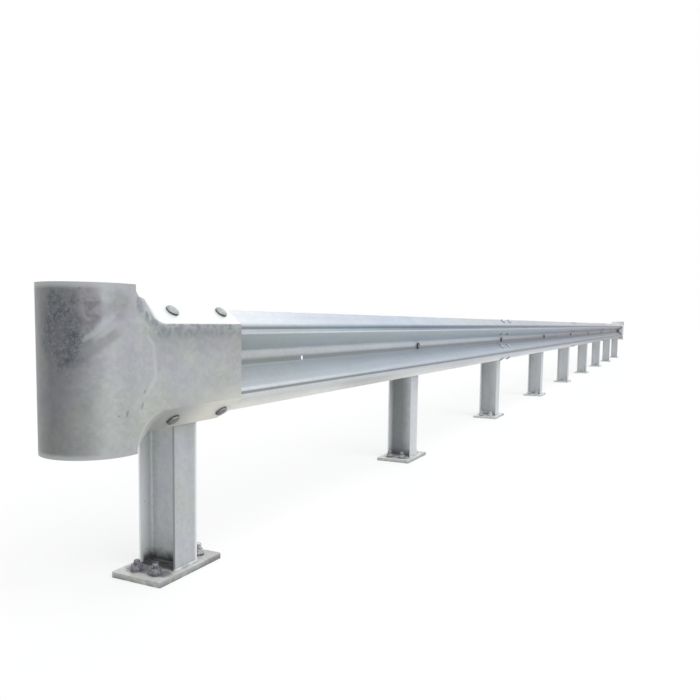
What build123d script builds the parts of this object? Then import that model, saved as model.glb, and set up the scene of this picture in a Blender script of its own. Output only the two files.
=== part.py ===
from build123d import *
import math
import os

# Highway guardrail: a W-profile steel beam bolted to a row of I-section posts on base plates,
# with a bull-nose terminal at each end. Millimetres, +X along the rail, traffic on the -Y side,
# +Z up. The origin is the centre of the middle base plate's underside.

# ---- row ----
post_spacing = 1905.0
bay_count = 8
bays_per_beam = 2
rail_centre_height = 618.0

# ---- base plates and their anchor holes ----
plate_length = 280.0
plate_width = 180.0
plate_thickness = 16.0
plate_corner_radius = 6.0
anchor_pitch_x = 190.0
anchor_pitch_y = 70.0
anchor_hole_diameter = 24.0

# ---- posts: rolled I-section, web square to the rail ----
post_depth = 134.0
post_width = 100.0
post_flange_thickness = 6.0
post_web_thickness = 5.0
post_root_radius = 8.0
post_top_above_rail_centre = 130.0
post_bolt_offset = 22.0
post_bolt_hole_diameter = 18.0

# ---- beams: bent sheet, measured over the sheet's outside ----
beam_sheet = 3.0
beam_height = 311.0
beam_depth = 83.0
crest_spacing = 198.0
crest_width = 22.0
valley_width = 44.0
edge_setback = 54.0
beam_bend_radius = 20.0
lap_length = 317.5
post_slot_length = 64.0
post_slot_width = 20.0
splice_pitch = 216.0
splice_slot_length = 30.0
splice_slot_width = 23.0
inner_splice_height = 53.0
outer_splice_height = 143.0
handling_hole_diameter = 18.0
handling_hole_from_lap = 671.0
handling_hole_below_centre = 12.0

# ---- terminals: one bent sheet, flat sleeve over the beam end and a rounded nose ----
terminal_sheet = 3.5
nose_radius = 125.0
nose_height = 418.0
nose_centre_from_post = 313.0
nose_return_length = 75.0
nose_edge_from_post = 286.0
shoulder_height = 360.0
shoulder_slant = 13.0
twist_end_from_post = 180.0
twist_fold_length = 102.0
twist_fold_rise = 88.0
twist_turn_degrees = 72.0
twist_start_lean_degrees = 10.0
twist_lean_power = 1.5
twist_bend_reach = 16.0
twist_bend_share = 0.8
twist_steps = 12
sleeve_bend_radius = 10.0
sleeve_edge_height = 348.0
sleeve_end_from_post = 156.0
sleeve_corner_length = 24.0
sleeve_corner_height = 14.0
terminal_hole_diameter = 20.0

# ---- clearances ----
seat_clearance = 0.2
lap_clearance = 0.3
cut_reach = 20.0

os.makedirs("parts", exist_ok=True)

# ---- derived sizes ----
post_count = bay_count + 1
beam_count = bay_count // bays_per_beam
beam_run = bays_per_beam * post_spacing
seat_y = -post_depth / 2 - seat_clearance

# corners of the beam's mid-sheet line: depth forward of the back face, height from the centre
mid_back = beam_sheet / 2
mid_crest = beam_depth - beam_sheet / 2
valley_corner = (mid_back, valley_width / 2)
crest_low_corner = (mid_crest, (crest_spacing - crest_width) / 2)
crest_high_corner = (mid_crest, (crest_spacing + crest_width) / 2)
edge_rise = beam_height / 2 - crest_high_corner[1]
outer_slope = math.atan2(edge_setback, edge_rise)
edge_height = beam_height / 2 - mid_back * math.sin(outer_slope)
edge_corner = (
    mid_crest - (edge_height - crest_high_corner[1]) * math.tan(outer_slope),
    edge_height,
)
inner_slope = math.atan2(
    crest_low_corner[0] - valley_corner[0], crest_low_corner[1] - valley_corner[1]
)

# Lapped sheets nest when the front one stands this far forward, so each beam leans by that
# much over its length: its near end lies behind the sleeve or beam before it.
nest_shift = (beam_sheet + lap_clearance) / math.cos(inner_slope)
beam_lean = math.atan2(nest_shift, beam_run)


def row_x(index):
    """X of a post, counted from 0 at the near end."""
    return (index - bay_count / 2) * post_spacing


def post_shift(index):
    """How far a post stands towards the traffic to meet the leaning beam in front of it."""
    bays_into_beam = index % bays_per_beam
    if index == bay_count:
        bays_into_beam = bays_per_beam
    return -nest_shift * bays_into_beam / bays_per_beam


def beam_frame(index):
    """Frame of a beam: origin on its back face at its first post, x along it, y back, z up."""
    return Plane(
        origin=(row_x(index * bays_per_beam), seat_y, rail_centre_height),
        x_dir=(math.cos(beam_lean), -math.sin(beam_lean), 0),
        z_dir=(0, 0, 1),
    )


def section_plane(frame, x):
    """Plane across a frame at x: its own x points back and its own y points up."""
    return Plane(
        origin=frame.from_local_coords((x, 0, 0)), x_dir=frame.y_dir, z_dir=frame.x_dir
    )


def face_plane(frame, x, depth, height, tilt):
    """Plane on a sloping sheet face, tilted by an angle about the frame's x axis."""
    normal = frame.z_dir * math.sin(tilt) - frame.y_dir * math.cos(tilt)
    return Plane(
        origin=frame.from_local_coords((x, -depth, height)), x_dir=frame.x_dir, z_dir=normal
    )


def depth_on_line(start, end, height):
    """Depth forward of the back face where a sloping line is at a height."""
    share = (height - start[1]) / (end[1] - start[1])
    return start[0] + share * (end[0] - start[0])


# ---- base plates ----
for index in range(post_count):
    with BuildPart() as base_plate:
        with BuildSketch(Plane((row_x(index), post_shift(index), 0))):
            RectangleRounded(plate_length, plate_width, plate_corner_radius)
            with GridLocations(anchor_pitch_x, anchor_pitch_y, 2, 2):
                Circle(anchor_hole_diameter / 2, mode=Mode.SUBTRACT)
        extrude(amount=plate_thickness)
    base_plate.part.label = f"base_plate_{index + 1}"
    export_step(base_plate.part, f"parts/{base_plate.part.label}.step")

# ---- posts ----
post_top = rail_centre_height + post_top_above_rail_centre
web_depth = post_depth - 2 * post_flange_thickness
for index in range(post_count):
    foot = Plane((row_x(index), post_shift(index), plate_thickness))
    front = Plane(
        origin=(row_x(index) + post_bolt_offset, post_shift(index) - post_depth / 2, 0),
        x_dir=(1, 0, 0),
        z_dir=(0, -1, 0),
    )
    with BuildPart() as post:
        with BuildSketch(foot) as post_section:
            Rectangle(post_width, post_depth)
            with GridLocations((post_web_thickness + post_width) / 2, 0, 2, 1):
                Rectangle((post_width - post_web_thickness) / 2, web_depth, mode=Mode.SUBTRACT)
            roots = post_section.vertices().filter_by(lambda v: abs(v.X) < post_web_thickness)
            fillet(roots, post_root_radius)
        extrude(amount=post_top - plate_thickness)
        with BuildSketch(front.offset(-post_flange_thickness)):
            with Locations((0, rail_centre_height)):
                Circle(post_bolt_hole_diameter / 2)
        extrude(amount=post_flange_thickness, mode=Mode.SUBTRACT)
    post.part.label = f"post_{index + 1}"
    export_step(post.part, f"parts/{post.part.label}.step")

# ---- beams ----
beam_half_line = [edge_corner, crest_high_corner, crest_low_corner, valley_corner]
beam_line = [(-depth, height) for depth, height in beam_half_line]
beam_line += [(-depth, -height) for depth, height in reversed(beam_half_line)]
inner_depth = depth_on_line(valley_corner, crest_low_corner, inner_splice_height)
outer_depth = depth_on_line(crest_high_corner, edge_corner, outer_splice_height)
splice_faces = []
for side in (-1, 1):
    splice_faces.append((inner_depth, side * inner_splice_height, -side * inner_slope))
    splice_faces.append((outer_depth, side * outer_splice_height, side * outer_slope))

for index in range(beam_count):
    frame = beam_frame(index)
    with BuildPart() as beam:
        with BuildSketch(section_plane(frame, -lap_length / 2)):
            with BuildLine():
                FilletPolyline(*beam_line, radius=beam_bend_radius)
            trace(line_width=beam_sheet)
        extrude(amount=beam_run + lap_length)
        for bay in range(bays_per_beam + 1):
            with BuildSketch(face_plane(frame, bay * post_spacing, 0, 0, 0)):
                with Locations((post_bolt_offset, 0)):
                    SlotOverall(post_slot_length, post_slot_width)
            extrude(amount=cut_reach, both=True, mode=Mode.SUBTRACT)
        for lap_x in (0, beam_run):
            for bolt_x in (lap_x - splice_pitch / 2, lap_x + splice_pitch / 2):
                for depth, height, tilt in splice_faces:
                    with BuildSketch(face_plane(frame, bolt_x, depth, height, tilt)):
                        SlotOverall(splice_slot_length, splice_slot_width)
                    extrude(amount=cut_reach / 2, both=True, mode=Mode.SUBTRACT)
        with BuildSketch(face_plane(frame, handling_hole_from_lap, 0, 0, 0)):
            with Locations((0, -handling_hole_below_centre)):
                Circle(handling_hole_diameter / 2)
        extrude(amount=cut_reach, both=True, mode=Mode.SUBTRACT)
    beam.part.label = f"beam_{index + 1}"
    export_step(beam.part, f"parts/{beam.part.label}.step")

# ---- terminals ----
# The sleeve's mid-sheet line runs outside the beam's, parallel to its front and outer slopes.
sleeve_gap = (beam_sheet + terminal_sheet) / 2 + lap_clearance
sleeve_front = mid_crest + sleeve_gap
sleeve_bend = (sleeve_front, crest_high_corner[1] + sleeve_gap * math.tan(outer_slope / 2))
sleeve_bolt = (
    outer_depth + sleeve_gap * math.cos(outer_slope),
    outer_splice_height + sleeve_gap * math.sin(outer_slope),
)
nose_mid_radius = nose_radius - terminal_sheet / 2
nose_back = nose_mid_radius * 2 - sleeve_front
twist_turn = math.radians(twist_turn_degrees)
twist_start_from_post = twist_end_from_post + twist_fold_length * math.sin(twist_turn)


def twist_x(share):
    """X from the post at a share of the way along the twist's fold, a part of an ellipse."""
    return -twist_end_from_post - twist_fold_length * math.sin(share * twist_turn)


def twist_line(share):
    """Mid-sheet line at that share, bend corners sharp, and the radius that rounds them."""
    fold = sleeve_bend[1] + twist_fold_rise * (1 - math.cos(share * twist_turn))
    height = (sleeve_edge_height + (shoulder_height - sleeve_edge_height) * share) / 2
    start_lean = math.radians(twist_start_lean_degrees)
    lean = start_lean + (outer_slope - start_lean) * (1 - share) ** twist_lean_power
    flange_width = (height - fold) / math.cos(lean)
    # the bend is as tight as the sleeve's at one end and opens out towards the nose
    sleeve_reach = sleeve_bend_radius * math.tan(outer_slope / 2)
    reach = sleeve_reach + (twist_bend_reach - sleeve_reach) * min(1, share * 3)
    reach = min(reach, twist_bend_share * flange_width)
    upper = [(sleeve_front - (height - fold) * math.tan(lean), height), (sleeve_front, fold)]
    line = upper + [(depth, -height) for depth, height in reversed(upper)]
    return [(-depth, height) for depth, height in line], reach / math.tan(lean / 2)


sleeve_line, _ = twist_line(0)
near_frame = beam_frame(0)
last_frame = beam_frame(beam_count - 1)
far_frame = Plane(
    origin=last_frame.from_local_coords((beam_run, 0, 0)),
    x_dir=last_frame.x_dir * -1,
    z_dir=last_frame.z_dir * -1,
)

for name, frame in (("terminal_near", near_frame), ("terminal_far", far_frame)):
    plan = Plane(
        origin=frame.from_local_coords((0, 0, -nose_height / 2)),
        x_dir=frame.x_dir,
        z_dir=frame.z_dir,
    )
    notch_width = nose_edge_from_post - twist_start_from_post
    with BuildPart() as terminal:
        # sleeve: flat front with a sloping flange above and below, its far corners cut back
        with BuildSketch(section_plane(frame, -twist_end_from_post)):
            with BuildLine():
                FilletPolyline(*sleeve_line, radius=sleeve_bend_radius)
            trace(line_width=terminal_sheet)
        extrude(amount=twist_end_from_post + sleeve_end_from_post)
        for side in (-1, 1):
            with BuildSketch(face_plane(frame, sleeve_end_from_post, sleeve_front, 0, 0)):
                with BuildLine():
                    Polyline(
                        (0, side * (sleeve_edge_height / 2 + cut_reach)),
                        (0, side * (sleeve_edge_height / 2 - sleeve_corner_height)),
                        (-sleeve_corner_length, side * sleeve_edge_height / 2),
                        (-sleeve_corner_length, side * (sleeve_edge_height / 2 + cut_reach)),
                        close=True,
                    )
                make_face()
            extrude(amount=beam_depth, both=True, mode=Mode.SUBTRACT)
        # twist: the flanges narrow and turn upright along a curved fold, up to the nose
        for step in range(twist_steps + 1):
            share = step / twist_steps
            line, radius = twist_line(share)
            with BuildSketch(section_plane(frame, twist_x(share))):
                with BuildLine():
                    FilletPolyline(*line, radius=radius)
                trace(line_width=terminal_sheet)
        loft(ruled=True)
        # nose: half round in plan, with a short return behind
        with BuildSketch(plan):
            with BuildLine():
                Line((-twist_start_from_post, -sleeve_front), (-nose_centre_from_post, -sleeve_front))
                nose_arc = CenterArc((-nose_centre_from_post, nose_mid_radius - sleeve_front),
                                     nose_mid_radius, 270, -180)
                Line(nose_arc @ 1, (nose_return_length - nose_centre_from_post, nose_back))
            trace(line_width=terminal_sheet)
        extrude(amount=nose_height)
        for side in (-1, 1):
            with BuildSketch(face_plane(frame, -twist_start_from_post, sleeve_front, 0, 0)):
                with BuildLine():
                    Polyline(
                        (0, side * shoulder_height / 2),
                        (0, side * nose_height / 2),
                        (-notch_width, side * nose_height / 2),
                        (-notch_width, side * (shoulder_height / 2 + shoulder_slant)),
                        close=True,
                    )
                make_face()
            extrude(amount=terminal_sheet, both=True, mode=Mode.SUBTRACT)
        # bolt holes through the flanges
        for bolt_x in (-splice_pitch / 2, splice_pitch / 2):
            for side in (-1, 1):
                depth, height = sleeve_bolt
                with BuildSketch(face_plane(frame, bolt_x, depth, side * height,
                                            side * outer_slope)):
                    Circle(terminal_hole_diameter / 2)
                extrude(amount=cut_reach / 2, both=True, mode=Mode.SUBTRACT)
    terminal.part.label = name
    export_step(terminal.part, f"parts/{name}.step")
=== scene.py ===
import math
import random

import bpy
from mathutils import Matrix, Vector, noise


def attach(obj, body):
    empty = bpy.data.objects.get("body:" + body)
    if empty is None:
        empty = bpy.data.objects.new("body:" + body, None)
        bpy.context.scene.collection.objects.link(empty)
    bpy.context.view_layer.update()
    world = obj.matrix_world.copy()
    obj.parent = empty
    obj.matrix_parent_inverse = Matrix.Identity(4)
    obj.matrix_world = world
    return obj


# Highway guardrail: galvanised W-profile beams on nine posts, with a bull-nose terminal at each
# end. Metres, in the frame of the CAD model: +X along the rail, traffic on the -Y side, +Z up.

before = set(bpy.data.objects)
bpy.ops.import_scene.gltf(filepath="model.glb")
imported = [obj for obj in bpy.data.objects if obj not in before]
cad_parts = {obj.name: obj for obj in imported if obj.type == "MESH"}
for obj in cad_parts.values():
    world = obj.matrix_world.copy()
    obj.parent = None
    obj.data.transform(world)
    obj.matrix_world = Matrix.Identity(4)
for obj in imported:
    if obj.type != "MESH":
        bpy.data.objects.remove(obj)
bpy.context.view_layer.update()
MM = 0.001

# ---- sizes repeated from the CAD model ----
POST_COUNT = 9
BAYS_PER_BEAM = 2
POST_SPACING = 1905 * MM
RAIL_HEIGHT = 618 * MM
PLATE_THICKNESS = 16 * MM
POST_WIDTH = 100 * MM
POST_DEPTH = 134 * MM
FLANGE_THICKNESS = 6 * MM
WEB_THICKNESS = 5 * MM
POST_BOLT_OFFSET = 22 * MM
ANCHOR_PITCH = (190 * MM, 70 * MM)
BEAM_SHEET = 3 * MM
CREST_HEIGHT = 99 * MM
CREST_DEPTH = 81.5 * MM
EDGE_SETBACK = 54 * MM
CREST_HALF_WIDTH = 11 * MM
BEAM_HALF_HEIGHT = 155.5 * MM
VALLEY_HALF_WIDTH = 22 * MM
SPLICE_PITCH = 216 * MM
INNER_SPLICE_HEIGHT = 53 * MM
OUTER_SPLICE_HEIGHT = 143 * MM
TERMINAL_SHEET = 3.5 * MM
NOSE_RADIUS = 125 * MM
NOSE_HEIGHT = 418 * MM
NOSE_CENTRE_FROM_POST = 313 * MM
TWIST_END_FROM_POST = 180 * MM
TWIST_FOLD_LENGTH = 102 * MM
TWIST_FOLD_RISE = 88 * MM
SEAT_CLEARANCE = 0.2 * MM
LAP_CLEARANCE = 0.3 * MM

# ---- fixings, which only this script makes ----
HEAD_RADIUS = 18.9 * MM
HEAD_HEIGHT = 9.6 * MM
POST_HEAD_RADIUS = 16.5 * MM
BOLT_RADIUS = 8 * MM
BOLT_PITCH = 2.0 * MM
BOLT_TAIL = 11 * MM
BOLT_TAIL_SPREAD = 2 * MM
NUT_ACROSS_FLATS = 27 * MM
NUT_HEIGHT = 13 * MM
WASHER_RADIUS = 17 * MM
WASHER_THICKNESS = 3 * MM
ANCHOR_RADIUS = 10 * MM
ANCHOR_THREAD_PITCH = 2.5 * MM
ANCHOR_TOP = 50 * MM
ANCHOR_TOP_SPREAD = (-4 * MM, 3 * MM)
ANCHOR_NUT_ACROSS_FLATS = 30 * MM
ANCHOR_NUT_HEIGHT = 16 * MM
ANCHOR_WASHER_RADIUS = 18.5 * MM
WELD_RADIUS = 5.2 * MM
WELD_STEP = 3.5 * MM
WELD_SIDES = 10
WELD_NOISE_SCALE = 60
WELD_RIPPLE = 0.09
WELD_WANDER = 0.28
WELD_SEED_STEP = 3.7
HEAD_SIDES = 32
WASHER_SIDES = 28
ROD_SIDES = 20
NUT_SIDES = 36
DOME_STEPS = 6
DOME_SHARE = 0.985
SHOULDER_SHARE = 0.52
NUT_CIRCLE_SHARE = 0.96
NUT_CHAMFER = math.radians(30)
NUT_MOUTH = 1.2 * MM
WASHER_EDGE = 0.5 * MM
ROD_CHAMFER = 1.5 * MM
THREAD_DEPTH_SHARE = 0.55
THREAD_RUN_OUT = 2 * MM
BOLT_CORE_RADIUS = BOLT_RADIUS - 0.9 * MM
ANCHOR_CORE_RADIUS = ANCHOR_RADIUS - 1.1 * MM
ANCHOR_LEAN = math.radians(1.5)
# material slots of a bolt or an anchor
CROWN, RIM = 0, 1

# ---- places worked out from those sizes ----
BEAM_COUNT = (POST_COUNT - 1) // BAYS_PER_BEAM
HALF_WIDTH = POST_WIDTH / 2
HALF_DEPTH = POST_DEPTH / 2
SEAT_Y = -HALF_DEPTH - SEAT_CLEARANCE
BEAM_RUN = BAYS_PER_BEAM * POST_SPACING
MID_BACK = BEAM_SHEET / 2
OUTER_SLOPE = math.atan2(EDGE_SETBACK, BEAM_HALF_HEIGHT - CREST_HEIGHT - CREST_HALF_WIDTH)
INNER_RUN = CREST_HEIGHT - CREST_HALF_WIDTH - VALLEY_HALF_WIDTH
INNER_SLOPE = math.atan2(CREST_DEPTH - MID_BACK, INNER_RUN)
NEST_SHIFT = (BEAM_SHEET + LAP_CLEARANCE) / math.cos(INNER_SLOPE)
BEAM_LEAN = math.atan2(NEST_SHIFT, BEAM_RUN)
INNER_SPLICE_DEPTH = MID_BACK + (INNER_SPLICE_HEIGHT - VALLEY_HALF_WIDTH) * math.tan(INNER_SLOPE)
OUTER_SPLICE_DEPTH = CREST_DEPTH - math.tan(OUTER_SLOPE) * (
    OUTER_SPLICE_HEIGHT - CREST_HEIGHT - CREST_HALF_WIDTH)
SLEEVE_GAP = (BEAM_SHEET + TERMINAL_SHEET) / 2 + LAP_CLEARANCE
SLEEVE_FRONT = CREST_DEPTH + SLEEVE_GAP
NOSE_MID_RADIUS = NOSE_RADIUS - TERMINAL_SHEET / 2
NOSE_Y = SEAT_Y + NOSE_MID_RADIUS - SLEEVE_FRONT
NOSE_TOP = RAIL_HEIGHT + NOSE_HEIGHT / 2
NOSE_BOTTOM = RAIL_HEIGHT - NOSE_HEIGHT / 2
SLEEVE_BEND = CREST_HEIGHT + CREST_HALF_WIDTH + SLEEVE_GAP * math.tan(OUTER_SLOPE / 2)

# ---- how the painted tone changes over the rail, most of it painted light and shade: (place, tone) stops ----
# painted shade round the nose, deepest at its tip where it is also grime, in radians from the tip
NOSE_SHADE_TONES = [(-1.5, 0.8), (-0.35, 0.42), (0.05, 0.31), (0.3, 0.36), (0.55, 0.44), (0.75, 0.52),
              (0.92, 0.64), (1.06, 0.77), (1.2, 0.83), (1.5, 0.8)]
# down the sleeve, by height above the rail's centre
SLEEVE_TONES = [(-115 * MM, 1.0), (-20 * MM, 0.97), (20 * MM, 0.93), (60 * MM, 0.83),
                (88 * MM, 0.74), (102 * MM, 0.82), (112 * MM, 1.0)]
# along the beams, by X, painted reflection and shade: each table is for one part of their profile
BEAM_TOP_TONES = [(-7.45, 1.0), (-7.2, (0.86, 0.89, 0.92)), (-6.9, (0.66, 0.7, 0.76)),
                  (-6.2, (0.47, 0.55, 0.66)), (-5.0, (0.41, 0.47, 0.51)), (-3.2, (0.33, 0.37, 0.43)),
                  (-1.0, (0.45, 0.48, 0.51)), (2.5, (0.47, 0.46, 0.5)), (5.5, (0.6, 0.58, 0.64)),
                  (7.2, (0.78, 0.76, 0.8))]
BEAM_CREST_TONES = [(-7.45, (0.86, 0.91, 1.0)), (-6.6, (0.57, 0.71, 0.83)), (-5.9, (0.31, 0.4, 0.54)),
                    (-4.2, (0.27, 0.34, 0.48)), (-3.2, (0.22, 0.28, 0.41)), (-0.6, (0.22, 0.25, 0.33)),
                    (5.0, (0.24, 0.25, 0.32))]
BEAM_UPPER_TONES = [(-7.45, (0.9, 0.91, 0.94)), (-6.6, (0.97, 0.99, 1.0)), (-5.9, (0.95, 0.97, 1.0)),
                    (-5.0, (0.84, 0.9, 0.95)), (-2.0, (0.75, 0.77, 0.89)), (1.2, (0.5, 0.52, 0.6)),
                    (3.2, (0.39, 0.39, 0.49)), (5.5, (0.32, 0.32, 0.41))]
BEAM_LOWER_TONES = [(-7.45, 1.0), (-6.2, (0.83, 0.88, 0.94)), (-4.2, (0.62, 0.67, 0.74)),
                    (-2.0, (0.43, 0.45, 0.55)), (1.2, (0.28, 0.3, 0.37)), (3.2, (0.25, 0.26, 0.32)),
                    (5.5, (0.24, 0.25, 0.31))]
VALLEY_UPPER_TONES = [(-7.45, 0.8), (-6.9, 0.88), (-6.2, 1.0), (-4.2, 0.98), (-2.0, 0.72),
                      (-0.6, 0.55), (1.2, 0.45), (5.5, 0.5)]
VALLEY_LOWER_TONES = [(-7.45, 1.0), (-5.0, 0.8), (-4.2, 0.7), (-3.2, 0.52), (-2.0, 0.42),
                      (-0.6, 0.36), (5.5, 0.36)]
LOW_CREST_TONES = [(-7.45, 1.0), (-6.2, 0.84), (-4.2, 0.74), (-1.0, 0.7), (1.2, 0.6), (3.2, 0.5)]
BEAM_UNDER_TONES = [(-7.45, (0.92, 0.92, 0.88)), (-3.0, (0.92, 0.94, 1.0)), (-0.6, (0.78, 0.8, 0.88)),
                    (1.2, (0.49, 0.51, 0.6)), (3.2, (0.32, 0.33, 0.4)), (5.5, (0.24, 0.245, 0.29))]
# from post to post, counted from 0: painted shade on the webs, deepest on the second post
POST_WEB_TONES = [(0, 0.83), (1, 0.39), (2, 0.7), (3, 0.84), (4, 1.0), (8, 1.0)]
POST_FRONT_TONES = [(0, 0.78), (1, 1.0), (8, 1.0)]

# ---- shaders and marks: shares are of the mark's own size ----
COAT_WEIGHT = 0.2
COAT_ROUGHNESS = 0.3
BUMP_STRENGTH = 0.5
CREVICE_SAMPLES = 8
SPECK_CORE = 0.55
STROKE_CORE = 0.35
BLOB_EDGE = (1.25, 0.5)
WOBBLE_SCALE = 22.0
SCRAPE_WOBBLE = 0.014

# ---- floor, light and camera ----
FLOOR_HALF = 60.0
FLOOR_DROP = 0.5 * MM
FLOOR_PAPER = 0.95
FLOOR_UNSEEN = (0.6, 0.6, 0.59)
FLOOR_GLOW = 0.62
SKY_COLOUR = (0.97, 0.985, 1.0)
SKY_STRENGTH = 0.6
# name, direction towards the lamp, strength, softness in degrees
LAMPS = [("key", (-0.25, -0.62, 0.76), 1.74, 60), ("back", (0.79, 0.1, 0.6), 0.5, 50)]
CAMERA_PLACE = (-9.177, -1.35, 0.7446)
CAMERA_YAW = math.radians(25.8)
CAMERA_PITCH = math.radians(-4.733)
CAMERA_ROLL = math.radians(0.8188)
CAMERA_SENSOR = 36.0
CAMERA_LENS = 34.93
CAMERA_SHIFT = 0.0394
CAMERA_CLIP = (0.05, 200.0)

# ---- marks on the near sleeve, in millimetres past the first post and above the rail's centre ----
CREASE = [(-248, 84), (-228, 62), (-221, 20), (-219, -24), (-240, -50), (-250, -66)]
# x of each nick's foot, then the heights of its foot and its head
NICKS = [(-271, -99, -84), (-322, -112, -98), (-262, -60, -52)]
NICK_LEAN = 5

chance = random.Random(631)


def new_object(name, data):
    """An object with its data, linked into the scene."""
    made = bpy.data.objects.new(name, data)
    bpy.context.scene.collection.objects.link(made)
    return made


def row_x(index):
    """X of a post, counted from 0 at the near end."""
    return (index - (POST_COUNT - 1) / 2) * POST_SPACING


def post_shift(index):
    """How far a post stands towards the traffic to meet the leaning beam in front of it."""
    bays_into_beam = index % BAYS_PER_BEAM
    if index == POST_COUNT - 1:
        bays_into_beam = BAYS_PER_BEAM
    return -NEST_SHIFT * bays_into_beam / BAYS_PER_BEAM


def lift(distance):
    """A move along z."""
    return Matrix.Translation((0, 0, distance))


def spin(angle, axis):
    """A turn about an axis through the origin."""
    return Matrix.Rotation(angle, 4, axis)


def beam_frame(index):
    """Frame of a beam: origin on its back face at its first post, x along it, y back, z up."""
    place = spin(-BEAM_LEAN, "Z")
    place.translation = (row_x(index * BAYS_PER_BEAM), SEAT_Y, RAIL_HEIGHT)
    return place


def both_ways(pitch):
    """Two places a pitch apart, either side of 0."""
    return (-pitch / 2, pitch / 2)


def on_face(place, x, depth, height, tilt):
    """Frame on a sloping sheet face: z is its outward normal, tilted up from the horizontal."""
    return place @ Matrix.Translation((x, -depth, height)) @ spin(math.pi / 2 - tilt, "X")


# ---- node materials ----


def fresh_tree(owner):
    """The node tree of a material or a world, emptied."""
    owner.use_nodes = True
    owner.node_tree.nodes.clear()
    return owner.node_tree


def add_node(tree, kind, inputs=None, **settings):
    """A new shader node; each input named or numbered is linked to a socket or set to a value."""
    made = tree.nodes.new("ShaderNode" + kind)
    for key, value in settings.items():
        setattr(made, key, value)
    for key, value in (inputs or {}).items():
        if isinstance(value, bpy.types.NodeSocket):
            tree.links.new(value, made.inputs[key])
        else:
            made.inputs[key].default_value = value
    return made


def rgba(tone):
    """A colour or a grey with full alpha; a socket stays as it is."""
    if isinstance(tone, bpy.types.NodeSocket):
        return tone
    return (*tone, 1) if isinstance(tone, tuple) else (tone, tone, tone, 1)


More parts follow.
